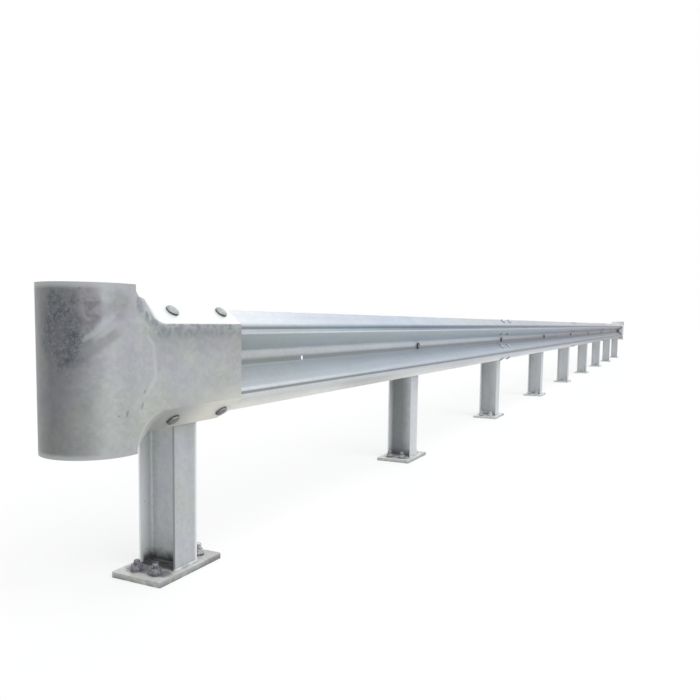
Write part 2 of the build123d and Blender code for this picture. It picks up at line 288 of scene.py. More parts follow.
class Recipe:
    """One procedural material: its shader, the nodes that feed it, and its colour so far."""

    def __init__(self, name, metallic):
        self.material = bpy.data.materials.new(name)
        self.tree = fresh_tree(self.material)
        self.shader = self.node("BsdfPrincipled", {
            "Metallic": metallic, "Coat Weight": COAT_WEIGHT, "Coat Roughness": COAT_ROUGHNESS})
        self.node("OutputMaterial", {"Surface": self.shader.outputs["BSDF"]})
        self.place = self.node("TexCoord").outputs["Object"]
        self.xyz = self.split(self.place)
        self.facing = self.split(self.node("NewGeometry").outputs["Normal"])
        self.colour = None

    def node(self, kind, inputs=None, **settings):
        return add_node(self.tree, kind, inputs, **settings)

    def split(self, vector):
        return self.node("SeparateXYZ", {0: vector}).outputs

    def math(self, operation, a, b=0.0, clamp=False):
        made = self.node("Math", {0: a, 1: b}, operation=operation, use_clamp=clamp)
        return made.outputs[0]

    def plus(self, a, b):
        return self.math("ADD", a, b)

    def minus(self, a, b):
        return self.math("SUBTRACT", a, b)

    def absolute(self, value):
        return self.math("ABSOLUTE", value)

    def product(self, first, *others):
        for other in others:
            first = self.math("MULTIPLY", first, other)
        return first

    def vector(self, operation, a, b=(0, 0, 0)):
        second = "Scale" if operation == "SCALE" else 1
        made = self.node("VectorMath", {0: a, second: b}, operation=operation)
        return made.outputs["Value"] if operation in ("DOT_PRODUCT", "LENGTH") else made.outputs[0]

    def between(self, amount, low, high):
        """low to high as amount runs from 0 to 1."""
        return self.node("MapRange", {"Value": amount, "To Min": low, "To Max": high}).outputs[0]

    def fade(self, value, low, high, top=1.0):
        """0 at low, rising smoothly to top at high, or the reverse where low is above high."""
        start, end = (top, 0.0) if low > high else (0.0, top)
        made = self.node("MapRange", {
            "Value": value, "From Min": min(low, high), "From Max": max(low, high),
            "To Min": start, "To Max": end}, interpolation_type="SMOOTHSTEP")
        return made.outputs[0]

    def band(self, value, centre, half_width, soft):
        """1 within half_width of centre, falling to 0 over soft."""
        return self.fade(self.absolute(self.minus(value, centre)), half_width + soft, half_width)

    def from_post(self):
        """X from the middle of the nearest post."""
        half = POST_SPACING / 2
        return self.node("Math", {0: self.xyz[0], 1: half, 2: -half}, operation="WRAP").outputs[0]

    def clouds(self, scale, detail=3.0, rough=0.5, warp=0.0, stretch=None):
        place = self.place
        if stretch:
            place = self.node("Mapping", {"Vector": place, "Scale": stretch}).outputs[0]
        made = self.node("TexNoise", {
            "Vector": place, "Scale": scale, "Detail": detail, "Roughness": rough, "Distortion": warp})
        return made.outputs["Fac"]

    def drift(self, scale):
        """A random push for each place."""
        return self.node("TexNoise", {"Vector": self.place, "Scale": scale}).outputs["Color"]

    def cells(self, place, scale):
        return self.node("TexVoronoi", {"Vector": place, "Scale": scale}, feature="F1")

    def spangle(self, scale, warp):
        """A random grey for each zinc crystal, the crystals' edges bent by noise."""
        shift = self.vector("SCALE", self.drift(scale * 0.9), warp)
        crystals = self.cells(self.vector("ADD", self.place, shift), scale)
        return self.split(crystals.outputs["Color"])[0]

    def specks(self, scale, size, share):
        """Small round marks: one cell in so many holds one."""
        cells = self.cells(self.place, scale)
        near = self.fade(cells.outputs["Distance"], size, size * SPECK_CORE)
        kept = self.math("LESS_THAN", self.split(cells.outputs["Color"])[0], share)
        return self.product(near, kept)

    def along(self, value, stops):
        """A tone that changes with a value, from (value, tone) stops; a tone is a grey or a colour."""
        first, last = stops[0][0], stops[-1][0]
        share = self.node("MapRange", {"Value": value, "From Min": first, "From Max": last})
        made = self.node("ValToRGB", {"Fac": share.outputs[0]})
        elements = made.color_ramp.elements
        while len(elements) < len(stops):
            elements.new(0.5)
        for element, (stop, tone) in zip(elements, stops):
            element.position = (stop - first) / (last - first)
            element.color = rgba(tone)
        return made.outputs["Color"]

    def stroke(self, start, end, width, wobble=0.0, place=None):
        """A soft mark along the line between two points."""
        run = Vector(end) - Vector(start)
        place = place or self.place
        if wobble:
            push = self.vector("SUBTRACT", self.drift(WOBBLE_SCALE), (0.5,) * 3)
            place = self.vector("ADD", place, self.vector("SCALE", push, wobble))
        offset = self.vector("SUBTRACT", place, start)
        direction = tuple(run.normalized())
        reach = self.vector("DOT_PRODUCT", offset, direction)
        foot = self.vector("SCALE", direction, reach)
        across = self.vector("LENGTH", self.vector("SUBTRACT", offset, foot))
        return self.product(self.fade(across, width, width * STROKE_CORE), self.fade(reach, -width, width),
                            self.fade(reach, run.length + width, run.length - width))

    def blob(self, centre, size, warp_scale, warp, place):
        """A patch round a point, its edge broken up by noise."""
        offset = self.vector("DIVIDE", self.vector("SUBTRACT", place, centre), size)
        ragged = self.product(self.minus(self.clouds(warp_scale), 0.5), warp)
        return self.fade(self.plus(self.vector("LENGTH", offset), ragged), *BLOB_EDGE)

    def crevice(self, distance):
        """1 deep in corners and under fixings, 0 in the open."""
        made = self.node("AmbientOcclusion", {"Distance": distance}, samples=CREVICE_SAMPLES)
        return self.math("SUBTRACT", 1.0, made.outputs["AO"], clamp=True)

    def blend(self, factor, a, b, kind="MIX"):
        made = self.node("Mix", {"Factor": factor, "A": rgba(a), "B": rgba(b)},
                         data_type="RGBA", blend_type=kind)
        return made.outputs["Result"]

    def times(self, colour, tone):
        return self.blend(1.0, colour, tone, "MULTIPLY")

    def cover(self, tone, *shares):
        """Covers the colour with a tone, as far as the shares multiplied together."""
        self.colour = self.blend(self.product(*shares), self.colour, tone)

    def tone(self, tone, *shares):
        """Multiplies the colour by a tone, as far as the shares multiplied together."""
        self.cover(self.times(self.colour, tone), *shares)

    def shade(self, amount, low, high):
        """Multiplies the colour by a grey that runs from low to high as amount runs from 0 to 1."""
        level = self.between(amount, low, high)
        grey = self.node("CombineColor", {0: level, 1: level, 2: level})
        self.colour = self.times(self.colour, grey.outputs[0])

    def finish(self, roughness, relief, relief_height):
        bump = self.node("Bump", {
            "Strength": BUMP_STRENGTH, "Distance": relief_height, "Height": relief})
        for name, socket in (("Base Color", self.colour), ("Roughness", roughness),
                             ("Normal", bump.outputs["Normal"])):
            self.tree.links.new(socket, self.shader.inputs[name])
        return self.material


def nose_mark(degrees, height):
    """A point on the nose unrolled flat, by degrees round from the tip and height above ground."""
    return (math.radians(degrees) * NOSE_RADIUS, height, 0)


def sleeve_point(x, level):
    """A point on the near sleeve's front, by millimetres past the first post and above the centre."""
    return (row_x(0) + x * MM, SEAT_Y - SLEEVE_FRONT, RAIL_HEIGHT + level * MM)


def mark_nose(mix, from_middle, on_nose):
    """Painted shade and dark, mottled, scraped zinc round the nose's tip; painted highlights on its rims
    and light inside.
    """
    nose_axis = abs(row_x(0)) + NOSE_CENTRE_FROM_POST
    height = mix.xyz[2]
    past_axis = mix.minus(from_middle, nose_axis)
    turn = mix.math("ARCTAN2", mix.minus(NOSE_Y, mix.xyz[1]), past_axis)
    # the nose unrolled: metres round from its tip towards the traffic side, and height
    flat = mix.node("CombineXYZ", {0: mix.product(turn, NOSE_RADIUS), 1: height}).outputs[0]
    uneven = mix.product(mix.minus(mix.clouds(9, 3, warp=0.8), 0.5), 0.35)
    # painted shade round the nose, with grime at its tip
    nose_shade = mix.along(mix.plus(turn, uneven), NOSE_SHADE_TONES)
    mix.colour = mix.times(mix.colour, mix.blend(on_nose, 0.86, nose_shade))
    # a dark mottled patch with fine pale crystals over the top of the tip
    patch = mix.blob(nose_mark(17, 716 * MM), (66 * MM, 112 * MM, 1), 30.0, 0.8, flat)
    crystals = mix.fade(mix.clouds(80, 5, 0.7, 1.6), 0.4, 0.7)
    darker = mix.fade(mix.clouds(38, 3, 0.6, 1), 0.35, 0.6)
    mottle = mix.blend(darker, (0.04, 0.044, 0.054), (0.092, 0.09, 0.104))
    mix.cover(mix.blend(crystals, mottle, (0.17, 0.188, 0.21)), patch, 0.9)
    smoke = mix.blob(nose_mark(46, 775 * MM), (30 * MM, 62 * MM, 1), 22.0, 1.2, flat)
    mix.cover(mix.blend(darker, (0.13, 0.12, 0.14), (0.24, 0.23, 0.25)), smoke, 0.75)
    upright = mix.blob(nose_mark(76, 775 * MM), (36 * MM, 42 * MM, 1), 22.0, 0.8, flat)
    mix.shade(upright, 1.0, 0.82)
    # a pale scrape rising round the nose, with a painted shadow under it
    scrape = mix.stroke(nose_mark(40, 690 * MM), nose_mark(73, 752 * MM), 10 * MM, SCRAPE_WOBBLE, flat)
    mix.cover((0.44, 0.465, 0.5), scrape, 0.42)
    under = mix.stroke(nose_mark(37, 654 * MM), nose_mark(78, 712 * MM), 18 * MM, SCRAPE_WOBBLE, flat)
    mix.cover((0.215, 0.215, 0.235), under, 0.6)
    # painted highlights along both rims
    rim = mix.math("MAXIMUM", mix.fade(height, NOSE_TOP - 18 * MM, NOSE_TOP - 4 * MM),
                   mix.fade(height, NOSE_BOTTOM + 16 * MM, NOSE_BOTTOM + 4 * MM))
    mix.cover((0.425, 0.435, 0.45), rim, 0.8)
    # the inside of the nose is painted pale: painted light in its shaded hollow
    outward = mix.product(mix.facing[0], mix.math("SIGN", mix.xyz[0]), past_axis)
    outward = mix.plus(outward, mix.product(mix.facing[1], mix.minus(mix.xyz[1], NOSE_Y)))
    mix.cover((0.88, 0.89, 0.9), mix.fade(outward, 0.02, -0.02), on_nose, 0.92)


def mark_sleeve(mix, level, past_post, on_sleeve, front):
    """The sleeve: darker under its upper bend, paler and warmer lower down."""
    sleeve_face = mix.product(mix.fade(past_post, 275 * MM, 190 * MM), front)
    mix.tone(mix.along(level, SLEEVE_TONES), sleeve_face)
    warm = mix.math("MAXIMUM", mix.fade(level, -50 * MM, -115 * MM),
                    mix.fade(past_post, 60 * MM, -130 * MM, 0.7))
    mix.tone((1.0, 0.985, 0.91), warm, on_sleeve, front, 0.6)
    drips = mix.fade(mix.clouds(30, 5, 0.65, 0.9, stretch=(1, 1, 0.85)), 0.42, 0.6)
    mix.cover((0.195, 0.235, 0.275), drips, mix.band(level, 99 * MM, 8 * MM, 24 * MM), sleeve_face, 0.7)
    low_bend = mix.product(mix.fade(level, -50 * MM, -114 * MM), mix.fade(past_post, 90 * MM, -120 * MM))
    mix.cover((0.66, 0.65, 0.6), low_bend, on_sleeve, front, 0.6)


def mark_twist(mix, level, past_post, front):
    """The twist and both flanges: painted shade and highlights on the bends, painted light and shadow on
    the faces.
    """
    up = mix.facing[2]
    along = mix.math("DIVIDE", mix.minus(past_post, TWIST_END_FROM_POST), TWIST_FOLD_LENGTH)
    above_fold = mix.minus(mix.absolute(level), SLEEVE_BEND + TWIST_FOLD_RISE)
    rise = mix.math("DIVIDE", above_fold, TWIST_FOLD_RISE)
    fold = mix.math("SQRT", mix.plus(mix.product(along, along), mix.product(rise, rise)))
    twisted = mix.product(mix.fade(along, 0.0, 0.3), front, mix.fade(along, 1.06, 1.0))
    # its upper bend is dark at the start: a painted dark reflection, broken up by mottles
    upper = mix.product(mix.band(fold, 0.97, 0.1, 0.18), twisted, mix.fade(level, 60 * MM, 100 * MM))
    broken = mix.fade(mix.clouds(40, 4, 0.6, 0.6), 0.3, 0.62)
    mix.cover((0.21, 0.24, 0.27), upper, broken, 0.75)
    # painted light and shadow on faces turned down: pale and warm from the road's light, darker towards the
    # nose in its shadow
    painted_underside = mix.fade(up, -0.05, -0.5)
    toward_nose = mix.fade(past_post, -60 * MM, 150 * MM)
    mix.cover(mix.blend(toward_nose, (0.82, 0.8, 0.73), (0.375, 0.385, 0.36)), painted_underside, 0.85)
    # a painted highlight along the lower bend
    bend_highlight = mix.product(mix.band(fold, 1.0, 0.02, 0.04), twisted, mix.fade(level, -60 * MM, -100 * MM))
    mix.cover((0.52, 0.53, 0.52), bend_highlight, 0.75)
    # painted shade on the bend under the upper flange, and painted light on faces turned up, which are also
    # zinc paled by rain
    bend = mix.product(mix.fade(up, 0.05, 0.22), mix.fade(up, 0.66, 0.5))
    mix.shade(mix.product(bend, mix.fade(mix.clouds(38, 4, 0.6), 0.3, 0.6)), 1.0, 0.72)
    mix.cover((0.74, 0.76, 0.77), mix.fade(up, 0.45, 0.72), 0.92)


def terminal_zinc():
    """Dull, mottled hot-dip zinc of the bent terminals, with painted shade round the nose, darkest over its
    tip.
    """
    mix = Recipe("terminal_zinc", metallic=0.3)
    level = mix.minus(mix.xyz[2], RAIL_HEIGHT)
    from_middle = mix.absolute(mix.xyz[0])
    past_post = mix.minus(from_middle, abs(row_x(0)))
    front = mix.fade(mix.xyz[1], NOSE_Y, NOSE_Y - 60 * MM)
    on_nose = mix.fade(past_post, NOSE_CENTRE_FROM_POST - 60 * MM, NOSE_CENTRE_FROM_POST)
    tint = mix.fade(mix.clouds(7, 2, warp=0.6), 0.38, 0.62)
    mix.colour = mix.blend(tint, (0.505, 0.512, 0.553), (0.512, 0.538, 0.527))
    mix.shade(mix.clouds(12, 4, 0.55, 0.8), 0.88, 1.12)
    mix.shade(mix.spangle(85, 0.012), 0.94, 1.06)
    mark_nose(mix, from_middle, on_nose)
    mark_sleeve(mix, level, past_post, mix.minus(1.0, on_nose), front)
    mark_twist(mix, level, past_post, front)
    # a soft pale crease across the sleeve, and pits
    for start, end in zip(CREASE, CREASE[1:]):
        crease = mix.stroke(sleeve_point(*start), sleeve_point(*end), 9 * MM)
        mix.cover((0.6, 0.6, 0.64), crease, 0.3)
    pits = mix.specks(30, 0.1, 0.12)
    for x, low, high in NICKS:
        nick = mix.stroke(sleeve_point(x, low), sleeve_point(x + NICK_LEAN, high), 5 * MM)
        pits = mix.math("MAXIMUM", pits, nick)
    mix.shade(pits, 1.0, 0.62)
    # painted shade, partly grime, in corners and under the fixings
    mix.shade(mix.crevice(20 * MM), 1.0, 0.7)
    relief = mix.plus(mix.clouds(55, 4, 0.6), mix.product(pits, -2.0))
    relief = mix.plus(relief, mix.product(mix.clouds(9, 2), 5.0))
    return mix.finish(mix.between(mix.clouds(30), 0.42, 0.62), relief, 0.4 * MM)


def beam_tone(mix, level, outer, under):
    """Painted reflection and shade that turn the beams darker and bluer along the rail, most of all low in
    the profile.
    """
    x, up = mix.xyz[0], mix.facing[2]
    tone = mix.blend(mix.fade(level, 22 * MM, 28 * MM), mix.along(x, BEAM_LOWER_TONES),
                     mix.times(mix.along(x, BEAM_UPPER_TONES), (1.22, 1.25, 1.24)))
    low_crest = mix.product(mix.fade(level, -80 * MM, -87 * MM), mix.fade(up, -0.2, 0.2))
    tone = mix.blend(low_crest, tone, mix.times(tone, mix.along(x, LOW_CREST_TONES)))
    valley_tone = mix.blend(mix.fade(level, 2 * MM, -8 * MM), mix.along(x, VALLEY_UPPER_TONES),
                            mix.along(x, VALLEY_LOWER_TONES))
    tone = mix.blend(mix.band(level, -3 * MM, 20 * MM, 6 * MM), tone, mix.times(tone, valley_tone))
    tone = mix.blend(mix.fade(level, 86 * MM, 90 * MM), tone, mix.along(x, BEAM_CREST_TONES))
    tone = mix.blend(outer, tone, mix.along(x, BEAM_TOP_TONES))
    tone = mix.blend(under, tone, mix.times(mix.along(x, BEAM_UNDER_TONES), (1.12, 1.12, 1.14)))
    # the rear has one tone all along
    return mix.blend(mix.fade(mix.facing[1], -0.05, 0.1), tone, (0.84, 0.85, 0.87))


def beam_zinc():
    """Brighter zinc of the rolled beams, with lengthwise roll marks and painted reflections along the
    profile.
    """
    mix = Recipe("beam_zinc", metallic=0.35)
    up = mix.facing[2]
    level = mix.minus(mix.xyz[2], RAIL_HEIGHT)
    tint = mix.fade(mix.clouds(2.2, 3), 0.35, 0.65)
    mix.colour = mix.blend(tint, (0.43, 0.455, 0.49), (0.425, 0.46, 0.45))
    # painted reflections in bands along the profile: pale on faces turned down to the road
    mix.cover((0.66, 0.675, 0.685), mix.band(up, -0.38, 0.22, 0.16), 0.9)
    # a pale painted reflection of the road under the lower flange
    under = mix.product(mix.fade(level, -104 * MM, -118 * MM), mix.fade(up, -0.2, -0.5))
    under_tone = mix.blend(mix.fade(level, -120 * MM, -152 * MM), (0.66, 0.67, 0.67), (0.86, 0.86, 0.83))
    mix.cover(under_tone, under, 0.88)
    # painted light on the tops
    outer = mix.product(mix.fade(up, 0.25, 0.76), mix.fade(level, 60 * MM, 95 * MM))
    mix.cover((0.55, 0.585, 0.625), outer, 0.9)
    # a painted reflection of the sky on faces turned up below the valley
    mix.cover((0.44, 0.48, 0.525), mix.fade(up, 0.15, 0.7), mix.fade(level, 0.0, -20 * MM), 0.5)
    # a painted highlight on the low crest's upper bend
    mix.cover((0.66, 0.69, 0.74), mix.band(level, -93 * MM, 4 * MM, 8 * MM), mix.fade(up, 0.1, 0.5), 0.7)
    # a painted dark line low in the valley, where its faces stand upright
    mix.shade(mix.product(mix.band(level, -13 * MM, 6 * MM, 7 * MM), mix.band(up, 0.0, 0.3, 0.2)), 1.0, 0.6)
    # a painted light stripe high in the valley
    mix.cover((0.74, 0.75, 0.76), mix.band(level, 15 * MM, 9 * MM, 8 * MM), 0.7)
    # a painted dark line along the crests, where their faces stand upright
    on_crest = mix.fade(mix.absolute(level), 60 * MM, 80 * MM)
    mix.shade(mix.product(mix.band(up, 0.1, 0.08, 0.12), on_crest), 1.0, 0.55)
    mix.colour = mix.times(mix.colour, beam_tone(mix, level, outer, under))
    # lengthwise roll marks, clouds and spangle
    rolled = mix.clouds(60, 4, 0.6, stretch=(0.02, 1, 1))
    mix.shade(rolled, 0.88, 1.12)
    mix.shade(mix.clouds(5, 3, warp=0.5), 0.93, 1.07)
    mix.shade(mix.spangle(70, 0.012), 0.965, 1.035)
    mix.shade(mix.specks(16, 0.07, 0.1), 1.0, 0.7)
    # painted shade, partly grime, in corners and under the bolts
    mix.shade(mix.crevice(20 * MM), 1.0, 0.7)
    relief = mix.plus(mix.product(rolled, 0.6), mix.clouds(45, 3))
    return mix.finish(mix.between(mix.clouds(14), 0.32, 0.48), relief, 0.25 * MM)


def post_zinc():
    """Zinc on rolled sections: faint runs down the post, painted light and shade, and a foot painted dark
    with shadow and grime.
    """
    mix = Recipe("post_zinc", metallic=0.3)
    sideways = mix.from_post()
    across = mix.absolute(sideways)
    facing_along = mix.absolute(mix.facing[0])
    row = mix.math("DIVIDE", mix.minus(mix.xyz[0], row_x(0)), POST_SPACING)
    tint = mix.fade(mix.clouds(8, 2, warp=0.4), 0.36, 0.64)
    mix.colour = mix.blend(tint, (0.6, 0.62, 0.66), (0.59, 0.62, 0.61))
    # webs and fronts take their own tones post by post: painted shade in the recess on the webs
    frontal = mix.fade(mix.absolute(mix.facing[1]), 0.3, 0.8)
    row_tone = mix.blend(frontal, mix.along(row, POST_WEB_TONES), mix.along(row, POST_FRONT_TONES))
    mix.colour = mix.times(mix.colour, row_tone)
    runs = mix.clouds(34, 4, 0.6, stretch=(1, 1, 0.06))
    mix.shade(runs, 0.88, 1.12)
    mix.shade(mix.clouds(17, 4, 0.6, 0.6), 0.9, 1.1)
    mix.shade(mix.spangle(95, 0.01), 0.95, 1.05)
    # painted light inside the flanges, against the shade of the recess, and a painted highlight along their
    # far tips
    hidden = mix.fade(mix.absolute(mix.xyz[1]), HALF_DEPTH - 1 * MM, HALF_DEPTH - 5 * MM)
    painted_light_inside = mix.product(frontal, hidden, mix.fade(across, -12 * MM, 52 * MM))
    far_tip = mix.fade(sideways, HALF_WIDTH - 14 * MM, HALF_WIDTH, 0.85)
    mix.cover((0.9, 0.92, 0.93), mix.math("MAXIMUM", painted_light_inside, far_tip), 0.95)
    # painted shade on the traffic side's near tip of the first post, and a painted highlight on those of
    # the others
    near_tip = mix.fade(sideways, -HALF_WIDTH + 3 * MM, -HALF_WIDTH)
    first = mix.fade(row, 0.7, 0.3)
    dull = mix.product(first, mix.fade(mix.xyz[1], 10 * MM, -10 * MM))
    mix.cover(mix.blend(dull, (0.8, 0.82, 0.83), (0.28, 0.295, 0.305)), near_tip)
    # painted shade in the rounded corner where the web meets a flange, past the first post
    later = mix.minus(1.0, first)
    mix.shade(mix.product(mix.band(facing_along, 0.6, 0.25, 0.12), hidden, later), 1.0, 0.55)
    # webs past the first post get paler towards the traffic side
    ragged_y = mix.plus(mix.xyz[1], mix.product(mix.clouds(30, 3), 24 * MM))
    ahead = mix.fade(ragged_y, 18 * MM, -HALF_DEPTH + 24 * MM)
    mix.cover((0.66, 0.68, 0.7), ahead, mix.fade(facing_along, 0.7, 0.9), later, 0.85)
    # painted shadow with grime, near black, inside the foot of the first posts
    ragged_height = mix.plus(mix.xyz[2], mix.product(mix.clouds(40, 4, 0.6), -44 * MM))
    foot = mix.fade(ragged_height, 38 * MM, -2 * MM)
    inside = mix.fade(across, HALF_WIDTH - 3 * MM, HALF_WIDTH - 14 * MM)
    mix.cover((0.04, 0.04, 0.045), foot, inside, hidden, mix.fade(row, 1.9, 0.1, 0.94))
    mix.shade(mix.specks(26, 0.09, 0.1), 1.0, 0.65)
    relief = mix.plus(mix.clouds(60, 4, 0.6), mix.product(runs, 0.6))
    return mix.finish(mix.between(mix.clouds(26), 0.42, 0.6), relief, 0.35 * MM)


def plate_zinc():
    """Pale, dusty zinc of the base plates, stained round the anchors, with painted shade on the edges and
    in the post's foot.
    """
    mix = Recipe("plate_zinc", metallic=0.2)
    sideways = mix.from_post()
    across, deep = mix.absolute(sideways), mix.absolute(mix.xyz[1])
    tint = mix.fade(mix.clouds(14, 3), 0.36, 0.64)
    mix.colour = mix.blend(tint, (0.6, 0.62, 0.63), (0.59, 0.595, 0.565))
    mix.shade(mix.clouds(40, 4, 0.6), 0.88, 1.12)
    mix.shade(mix.spangle(80, 0.012), 0.94, 1.06)
    # painted shade on the edges towards the traffic and at both ends; the half past the post is darker too
    mix.shade(mix.fade(mix.facing[1], -0.5, -0.9), 1.0, 0.7)
    mix.shade(mix.fade(mix.absolute(mix.facing[0]), 0.5, 0.9), 1.0, 0.86)
    mix.shade(mix.fade(sideways, 20 * MM, 90 * MM), 1.0, 0.76)
    # the plates past the second are paler
    near_plates = mix.fade(mix.xyz[0], row_x(2), row_x(0))
    mix.colour = mix.blend(near_plates, mix.times(mix.colour, 1.25), mix.colour)
    # painted shadow with grime inside the post's foot and in corners, and stains round the anchors, worst
    # at the first post's outer end
    inside = mix.product(mix.fade(across, HALF_WIDTH + 14 * MM, HALF_WIDTH - 8 * MM),
                         mix.fade(deep, HALF_DEPTH + 2 * MM, HALF_DEPTH - 12 * MM),
                         mix.fade(mix.clouds(48, 3), 0.05, 0.5))
    corners = mix.product(mix.fade(mix.crevice(35 * MM), 0.15, 0.7),
                          mix.fade(mix.clouds(45, 3), 0.25, 0.6))
    shadow_and_grime = mix.math("MAXIMUM", corners, inside)
    from_anchor = mix.node("CombineXYZ", {
        0: mix.minus(across, ANCHOR_PITCH[0] / 2 - 10 * MM),
        1: mix.product(mix.minus(deep, ANCHOR_PITCH[1] / 2), 0.7)})
    reach = mix.plus(mix.vector("LENGTH", from_anchor.outputs[0]),
                     mix.product(mix.clouds(45, 3), -26 * MM))
    mix.cover((0.15, 0.145, 0.17), mix.fade(reach, 26 * MM, 8 * MM), mix.fade(mix.facing[2], 0.5, 0.9),
              mix.fade(sideways, 60 * MM, -60 * MM, 0.85), mix.between(near_plates, 0.3, 1.0))
    mix.cover((0.035, 0.034, 0.04), shadow_and_grime, mix.between(near_plates, 0.3, 0.92))
    chips = mix.specks(75, 0.14, 0.1)
    mix.shade(chips, 1.0, 0.6)
    relief = mix.plus(mix.clouds(70, 4, 0.6), mix.product(chips, -1.0))
    return mix.finish(mix.between(mix.clouds(30), 0.5, 0.7), relief, 0.5 * MM)


def fixing_zinc(name, pale, dark, metallic=0.3, shade_and_dirt=0.45, lit_colour_high=None):
    """Zinc on bolts, nuts and washers: worn pale outside, with painted shade and some grime in the corners
    and underneath.

    pale may be (x, colour) stops along the rail, and dark is then a share of that colour. washed
    is a paler colour for the fixings high up on the rail, where it differs: painted light, as on the beams'
    tops.
    """
    mix = Recipe(name, metallic)
    worn = mix.fade(mix.clouds(120, 4, 0.6), 0.35, 0.65)
    if isinstance(pale, list):
        pale = mix.along(mix.xyz[0], pale)
        dark = mix.times(pale, dark)
    mix.colour = mix.blend(worn, dark, pale)
    if lit_colour_high:
        mix.cover(lit_colour_high, mix.fade(mix.xyz[2], RAIL_HEIGHT + 40 * MM, RAIL_HEIGHT + 70 * MM))
    mix.shade(mix.clouds(400, 2), 0.88, 1.12)
    # painted shade, partly grime, in corners and under the heads, and on faces turned down
    mix.shade(mix.crevice(8 * MM), 1.0, shade_and_dirt)
    mix.shade(mix.fade(mix.facing[2], 0.0, -0.5), 1.0, shade_and_dirt)
    return mix.finish(mix.between(worn, 0.55, 0.38), mix.clouds(300, 3, 0.6), 0.2 * MM)


def weld_zinc():
    """Weld beads under zinc: paler than the post, with painted shade and grime between the ripples and
    inside the flanges.
    """
    mix = Recipe("weld_zinc", metallic=0.25)
    patchy = mix.fade(mix.clouds(60, 3), 0.35, 0.65)
    mix.colour = mix.blend(patchy, (0.42, 0.42, 0.44), (0.66, 0.68, 0.68))
    # painted shadow with grime, near black, on the beads inside the flanges
    hidden = mix.fade(mix.absolute(mix.xyz[1]), HALF_DEPTH + 1 * MM, HALF_DEPTH - 5 * MM)
    mix.cover((0.05, 0.05, 0.055), hidden, 0.9)
    # painted shade, partly grime, between the ripples
    mix.shade(mix.crevice(12 * MM), 1.0, 0.5)
    return mix.finish(mix.between(patchy, 0.5, 0.65), mix.clouds(250), 0.3 * MM)


# ---- meshes of the fixings ----


class Shape:
    """Gathers the faces of one joined piece; each part is put in place by a matrix."""

    def __init__(self):
        self.points = []
        self.faces = []
        self.finishes = []

    def add(self, place, part, finish=0):
        points, faces = part
        start = len(self.points)
        self.points += [place @ Vector(point) for point in points]
        self.faces += [[start + corner for corner in face] for face in faces]
        self.finishes += [finish] * len(faces)

    def build(self, name, materials, sharp_degrees=38):
        mesh = bpy.data.meshes.new(name)
        mesh.from_pydata(self.points, [], self.faces)
        for material in materials:
            mesh.materials.append(material)
        mesh.polygons.foreach_set("material_index", self.finishes)
        mesh.shade_smooth()
        mesh.set_sharp_from_angle(angle=math.radians(sharp_degrees))
        made = new_object(name, mesh)
        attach(made, "root")


def polar(radius, angle, z):
    """A point round the z axis."""
    return (radius * math.cos(angle), radius * math.sin(angle), z)


def lathe(profile, sides):
    """A turned part from the (radius, height) pairs of its outline."""
    points = []
    rings = []
    for radius, height in profile:
        if radius == 0:
            rings.append([len(points)] * sides)
            points.append((0, 0, height))
            continue
        rings.append([len(points) + step for step in range(sides)])
        points += [polar(radius, math.tau * step / sides, height) for step in range(sides)]
    faces = []
    for low, high in zip(rings, rings[1:]):
        for step in range(sides):
            after = (step + 1) % sides
            corners = [low[step], low[after], high[after], high[step]]
            faces.append(list(dict.fromkeys(corners)))
    return points, faces


def button_head(radius, height):
    """Crown of a guardrail bolt: a low dome with an upright rim. Returns the crown and the rim."""
    shoulder = (radius * DOME_SHARE, height * SHOULDER_SHARE)
    crown = [shoulder]
    for step in range(1, DOME_STEPS + 1):
        turn = step / DOME_STEPS * math.pi / 2
        reach = shoulder[0] * math.cos(turn) ** 0.62 if step < DOME_STEPS else 0
        crown.append((reach, shoulder[1] + (height - shoulder[1]) * math.sin(turn) ** 1.1))
    rim = [(radius * 0.6, 0), (radius * 0.98, 0), (radius, height * 0.1), (radius, height * 0.4), shoulder]
    return lathe(crown, HEAD_SIDES), lathe(rim, HEAD_SIDES)


def hex_radius(angle, across_flats):
    """Distance from the axis to a hexagon's side in a direction."""
    from_flat = (angle + math.pi / 6) % (math.pi / 3) - math.pi / 6
    return across_flats / 2 / math.cos(from_flat)


def nut(across_flats, height, bore):
    """Hexagon nut from z 0 up, with both ends chamfered to a circle."""
    circle = across_flats / 2 * NUT_CIRCLE_SHARE
    points = []
    for step in range(NUT_SIDES):
        angle = math.tau * step / NUT_SIDES
        side = hex_radius(angle, across_flats)
        drop = (side - circle) * math.tan(NUT_CHAMFER)
        for radius, z in ((bore, 0), (circle, 0), (side, drop), (side, height - drop),
                          (circle, height), (bore + NUT_MOUTH, height), (bore, height - NUT_MOUTH)):
            points.append(polar(radius, angle, z))
    per_side = len(points) // NUT_SIDES
    faces = []
    for step in range(NUT_SIDES):
        after = (step + 1) % NUT_SIDES
        for ring in range(per_side - 1):
            faces.append([step * per_side + ring, after * per_side + ring,
                          after * per_side + ring + 1, step * per_side + ring + 1])
    return points, faces


def thread(radius, pitch, bottom, top):
    """A helical ridge round a core, from bottom to top."""
    steps = int((top - bottom) / pitch) * ROD_SIDES
    points = []
    for step in range(steps + ROD_SIDES + 1):
        angle = math.tau * step / ROD_SIDES
        for reach, rise in ((radius - pitch * THREAD_DEPTH_SHARE, 0), (radius, pitch / 2)):
            z = min(max(bottom + pitch * (step / ROD_SIDES - 1) + rise, bottom), top)
            points.append(polar(reach, angle, z))
    faces = []
    for step in range(steps):
        root, crest = step * 2, step * 2 + 1
        next_turn = (step + ROD_SIDES) * 2
        faces.append([root, root + 2, crest + 2, crest])
        faces.append([crest, crest + 2, next_turn + 2, next_turn])
    return points, faces


